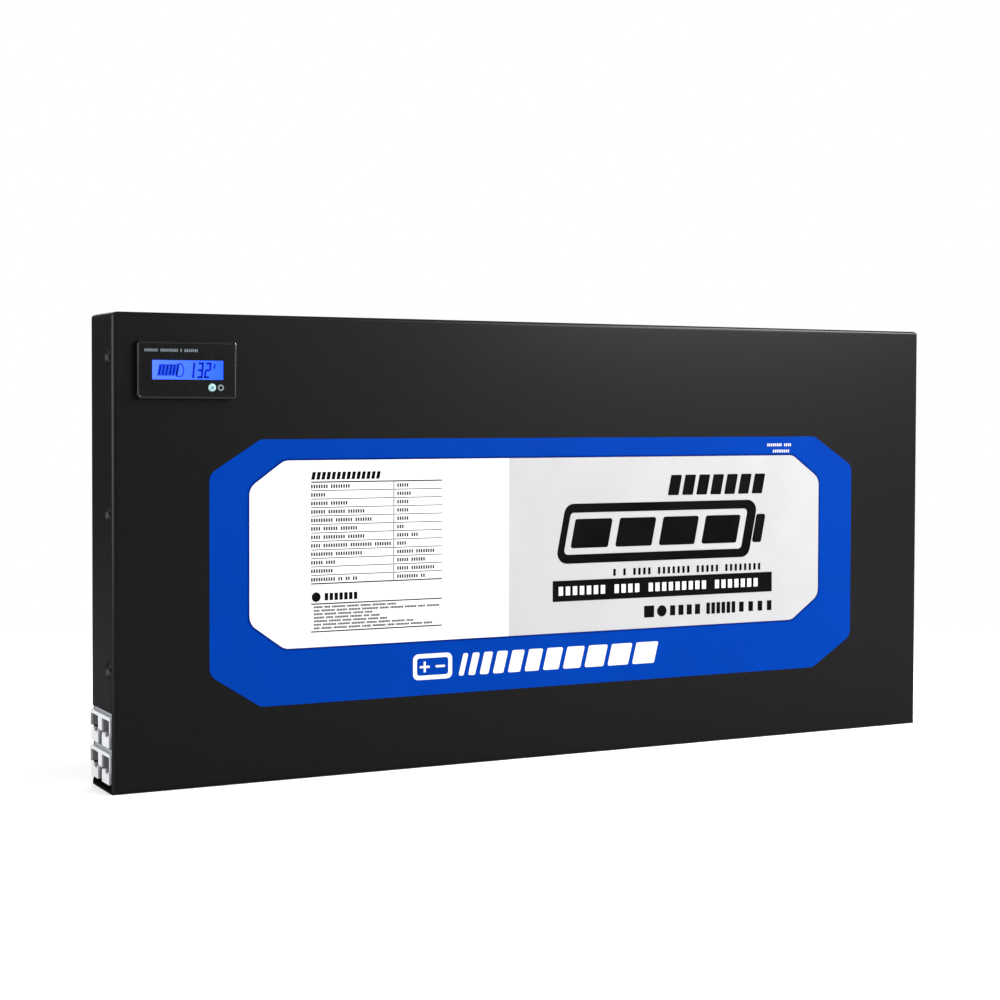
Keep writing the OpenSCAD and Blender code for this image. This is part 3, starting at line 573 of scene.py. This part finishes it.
GAUGE_LEFT, GAUGE_PITCH, GAUGE_BARS = 30.0, 2.39, 6
GAUGE_LEAN = 0.19
STROKE, STROKE_GAP = 1.35, 0.05
DIGIT_TOP, DIGIT_HEIGHT, DIGIT_LEAN = 32.4, 10.4, 0.1
DIGITS = ((50.3, 4.2, "bc"), (56.0, 4.4, "abcdg"), (61.3, 4.4, "abdeg"))
TIP = [(43.6, 33.2), (46.2, 33.2), (47.9, 36.4), (47.7, 39.6), (46.2, 42.0), (42.2, 42.0)]
TIP_HOLE = [(44.1, 33.9), (45.8, 33.9), (47.2, 36.6), (47.0, 39.4), (45.8, 41.4), (43.0, 41.4)]


def segment_digit(u, width, lit):
    """Seven-segment digit; lit holds the letters of its lit segments."""
    bottom = DIGIT_TOP + DIGIT_HEIGHT
    middle = DIGIT_TOP + DIGIT_HEIGHT / 2
    right = u + width - STROKE
    bars = {}
    for name, top in (("a", DIGIT_TOP), ("g", middle - STROKE / 2), ("d", bottom - STROKE)):
        shift = DIGIT_LEAN * (bottom - top - STROKE / 2)
        inset = STROKE / 2 + STROKE_GAP
        bars[name] = slab(u + inset + shift, top, u + width - inset + shift, top + STROKE)
    for name, start, top in (("f", u, DIGIT_TOP), ("b", right, DIGIT_TOP),
                             ("e", u, middle), ("c", right, middle)):
        low = top + DIGIT_HEIGHT / 2 - STROKE_GAP
        high_left = start + DIGIT_LEAN * (bottom - top)
        low_left = start + DIGIT_LEAN * (bottom - low)
        bars[name] = [(high_left, top + STROKE_GAP), (high_left + STROKE, top + STROKE_GAP),
                      (low_left + STROKE, low), (low_left, low)]
    return [(bars[name], None) for name in lit]


def bezel_rim():
    """Rounded rim standing proud round the bezel's face."""
    low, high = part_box("meter_bezel")
    u0, u1 = (low[0] - LEFT) / MM, (high[0] - LEFT) / MM
    v0, v1 = (TOP - high[2]) / MM, (TOP - low[2]) / MM
    wall, crown, corner = 1.3, 0.35, 2.6
    face_y, rear_y = low[1], high[1] - 0.1 * MM
    profile = [(-0.04, rear_y)]
    for k in range(7):
        a = math.radians(15 * k)
        profile.append((wall * (1 - math.cos(a)),
                        face_y + (wall - crown) * MM - wall * MM * math.sin(a)))
    profile += [(wall + 0.35, face_y - crown * MM), (wall + 0.6, face_y + 0.1 * MM),
                (wall + 0.6, face_y + 0.4 * MM), (0.2, rear_y)]
    work = bmesh.new()
    loops = []
    for inset, y in profile:
        outline = rounded(slab(u0 + inset, v0 + inset, u1 - inset, v1 - inset),
                          max(corner - inset, 0.5), 8)
        loops.append([work.verts.new(face_point(u, y, v)) for u, v in outline])
    for first, second in zip(loops, loops[1:] + loops[:1]):
        for corners in bands(first, second):
            work.faces.new(corners)
    smooth(work)
    finish_piece("meter_bezel_rim", work, "meter_rim")


def build_display():
    """Bar gauge with a rounded tip over a shaded field, three digits and a tick."""
    lcd_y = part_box("lcd_panel")[0][1]
    shapes = [(slab(GAUGE_LEFT + GAUGE_PITCH * k, 34.3, GAUGE_LEFT + GAUGE_PITCH * k + STROKE,
                    40.8, GAUGE_LEAN), None) for k in range(GAUGE_BARS)]
    shapes.append((TIP, TIP_HOLE))
    for u, width, lit in DIGITS:
        shapes += segment_digit(u, width, lit)
    shapes.append((slab(68.0, 33.4, 69.0, 36.4, GAUGE_LEAN), None))
    field = slab(29.4, 33.7, 43.2, 41.4, GAUGE_LEAN)
    flat_art("lcd_shade_block", [(field, None)], "lcd_shade", 1, lcd_y)
    flat_art("lcd_segments", shapes, "lcd_segment", 2, lcd_y)


def build_button():
    """Dished cap with a hidden flange and stem, and a mark at its centre."""
    low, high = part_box("meter_button")
    centre = ((low[0] + high[0]) / 2, (low[2] + high[2]) / 2)
    face, end = low[1], high[1]
    flange = face + 2.5 * MM
    flange_end = flange + 0.8 * MM
    cap_radius, flange_radius, stem_radius = 2.6 * MM, 3.4 * MM, 1.6 * MM
    cap = lathe("meter_button_cap", [
        (0, face + 0.12 * MM), (0.9 * MM, face + 0.1 * MM), (1.5 * MM, face + 0.02 * MM),
        (2.1 * MM, face + 0.02 * MM), (2.45 * MM, face + 0.16 * MM),
        (cap_radius, face + 0.45 * MM), (cap_radius, flange), (flange_radius, flange),
        (flange_radius, flange_end), (stem_radius, flange_end), (stem_radius, end), (0, end)],
        centre, "button_teal", "button")
    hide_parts("meter_button")
    mark = disc((centre[0] - LEFT) / MM, (TOP - centre[1]) / MM, 1.35)
    flat_art("meter_button_mark", [(mark, None)], "button_centre", 1, face + 0.1 * MM, "button")


def build_meter():
    """Bezel rim, display, caption with its round mark, and the push button."""
    bezel_rim()
    build_display()
    caption = blocks(20.4, 23.8, 1.9, 1.36, (7, 9, 1, 7), lean=0.1, fill=0.5)
    caption.append((disc(72.6, 49.0, 2.1), disc(72.6, 49.0, 1.2)))
    flat_art("meter_caption", caption, "meter_print", 2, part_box("meter_bezel")[0][1])
    build_button()


# ---------------------------------------------------------------- CAD pieces

# Edge softening in millimetres, of the nodes that are seen close up
SOFT_EDGES = {
    "rear_tray": 0.35, "front_cover": 0.3, "meter_bezel": 0.25,
    "upper_connector_housing": 0.35, "lower_connector_housing": 0.35,
    "connector_cradle": 0.25, "positive_contacts": 0.3, "negative_contacts": 0.3,
    "left_screws": 0.12, "right_screws": 0.12, "top_screws": 0.12, "bottom_screws": 0.12,
    "positive_bus": 0.3, "negative_bus": 0.3}

# Folded sheets, whose mitred corners keep a crisp line
SHEETS = ("rear_tray", "front_cover")


def dress_cad():
    """Gives each CAD node its finish, soft edges and clean shading."""
    slots = {row["node"]: row["material_slot"] for row in frame["record"]["subparts"]}
    for name, node in frame["nodes"].items():
        node.data.materials.clear()
        node.data.materials.append(finishes[slots[name]])
        weld = node.modifiers.new("weld", "WELD")
        weld.merge_threshold = 0.002 * MM
        if name in SOFT_EDGES:
            bevel = node.modifiers.new("soft_edges", "BEVEL")
            bevel.width = SOFT_EDGES[name] * MM
            bevel.segments = 3
            bevel.limit_method = "ANGLE"
            bevel.angle_limit = math.radians(40)
        if name in SHEETS:
            split = node.modifiers.new("crisp_mitres", "EDGE_SPLIT")
            split.split_angle = math.radians(12)


# ---------------------------------------------------------------- stage

EYE = Vector((LEFT, FACE_Y, BOTTOM)) + Vector((-360.0, -1238.0, 254.7)) * MM
CAMERA_YAW, CAMERA_PITCH, CAMERA_ROLL = 0.4789, 0.0298, 0.0033
SENSOR_MM = 36
LENS_MM = 1.9548 * SENSOR_MM
FRAME_RISE = -0.0360
SURROUND = 0.3
FLOOR_REACH = 14.0
FLOOR_FADE = (0.5, 0.95)
# name, place, target, size, power, and the direction its height is turned towards
LIGHTS = (
    ("key", (1.55, -2.14, 0.95), (0.1, 0, 0.2), (0.8, 0.9), 38, (0, 0, 1)),
    ("high_key", (1.25, -0.75, 1.5), (0.15, 0, 0.3), (0.5, 1.1), 58, (0, 0.78, 0.62)),
    ("fill", (-1.5, -1.9, 0.9), (-0.1, 0, 0.15), (1.2, 1.2), 2.5, (0, 0, 1)),
    ("left_wall", (-1.65, -0.1, 0.5), (-0.33, 0, 0.15), (1.5, 1.0), 30, (0, 0, 1)),
    ("back", (0.6, 2.0, 1.0), (0, 0, 0.15), (1.4, 1.2), 20, (0, 0, 1)))


def place_camera():
    """Camera at the reference viewing angle."""
    look = Vector((math.sin(CAMERA_YAW) * math.cos(CAMERA_PITCH),
                   math.cos(CAMERA_YAW) * math.cos(CAMERA_PITCH), -math.sin(CAMERA_PITCH)))
    level = Vector((math.cos(CAMERA_YAW), -math.sin(CAMERA_YAW), 0))
    rise = level.cross(look)
    side = level * math.cos(CAMERA_ROLL) + rise * math.sin(CAMERA_ROLL)
    up = rise * math.cos(CAMERA_ROLL) - level * math.sin(CAMERA_ROLL)
    camera = add_object("camera", bpy.data.cameras.new("camera"))
    camera.data.sensor_width = SENSOR_MM
    camera.data.lens = LENS_MM
    camera.data.shift_y = FRAME_RISE
    turn = Matrix((side, up, -look)).transposed().to_4x4()
    camera.matrix_world = Matrix.Translation(EYE) @ turn
    camera.data.clip_start = 0.01
    bpy.context.scene.camera = camera


def area_light(name, place, target, size, power, along):
    """Rectangular light aimed at a target, its height turned towards along."""
    data = bpy.data.lights.new(name, "AREA")
    data.shape = "RECTANGLE"
    data.size, data.size_y = size
    data.energy = power
    light = add_object(name, data)
    aim = (Vector(target) - Vector(place)).normalized()
    side = aim.cross(Vector(along)).normalized()
    turn = Matrix((side, side.cross(aim), -aim)).transposed().to_4x4()
    light.matrix_world = Matrix.Translation(place) @ turn


def seen_directly(tree):
    """1 where a surface is seen directly, 0 where it only lights another."""
    return tree.nodes.new("ShaderNodeLightPath").outputs["Is Camera Ray"]


def build_floor():
    """Pale floor that melts into the backdrop away from the object."""
    mesh = bpy.data.meshes.new("floor")
    corners = [(x * FLOOR_REACH, y * FLOOR_REACH, BOTTOM)
               for x, y in ((-1, -1), (1, -1), (1, 1), (-1, 1))]
    mesh.from_pydata(corners, [], [(0, 1, 2, 3)])
    floor = add_object("floor", mesh)
    material, tree, bsdf = shader("floor_paint")
    tone = spread(tree, noise(tree, 1.2, 2.0), 0.3, 0.7)
    pale = blend_colour(tree, tone, (0.86, 0.86, 0.86, 1), (0.9, 0.9, 0.9, 1))
    colour = blend_colour(tree, seen_directly(tree), (0.42, 0.42, 0.42, 1), pale)
    tree.links.new(colour, bsdf.inputs["Base Color"])
    bsdf.inputs["Roughness"].default_value = 0.9
    bsdf.inputs["Specular IOR Level"].default_value = 0.1
    bsdf.inputs["Emission Color"].default_value = (1, 1, 1, 1)
    lift = spread(tree, seen_directly(tree), 0, 1, 0, 0.25)
    tree.links.new(lift, bsdf.inputs["Emission Strength"])
    distance = tree.nodes.new("ShaderNodeVectorMath")
    distance.operation = "LENGTH"
    place = tree.nodes.new("ShaderNodeTexCoord").outputs["Object"]
    tree.links.new(place, distance.inputs[0])
    amount = tree.nodes.new("ShaderNodeMath")
    amount.operation = "MULTIPLY"
    tree.links.new(spread(tree, distance.outputs["Value"], *FLOOR_FADE), amount.inputs[0])
    tree.links.new(seen_directly(tree), amount.inputs[1])
    glow = tree.nodes.new("ShaderNodeEmission")
    mix = tree.nodes.new("ShaderNodeMixShader")
    tree.links.new(amount.outputs["Value"], mix.inputs["Fac"])
    tree.links.new(bsdf.outputs["BSDF"], mix.inputs[1])
    tree.links.new(glow.outputs["Emission"], mix.inputs[2])
    tree.links.new(mix.outputs["Shader"], tree.nodes["Material Output"].inputs["Surface"])
    mesh.materials.append(material)


def build_stage():
    """Pale floor, pale surroundings and soft studio light."""
    build_floor()
    world = bpy.data.worlds.new("surroundings")
    world.use_nodes = True
    tree = world.node_tree
    background = tree.nodes["Background"]
    background.inputs["Color"].default_value = (1, 1, 1, 1)
    strength = spread(tree, seen_directly(tree), 0, 1, SURROUND, 1.0)
    tree.links.new(strength, background.inputs["Strength"])
    bpy.context.scene.world = world
    for light in LIGHTS:
        area_light(*light)
    bpy.context.scene.view_settings.view_transform = "Standard"


finishes = build_materials()
place_camera()
dress_cad()
build_label()
build_meter()
build_stage()
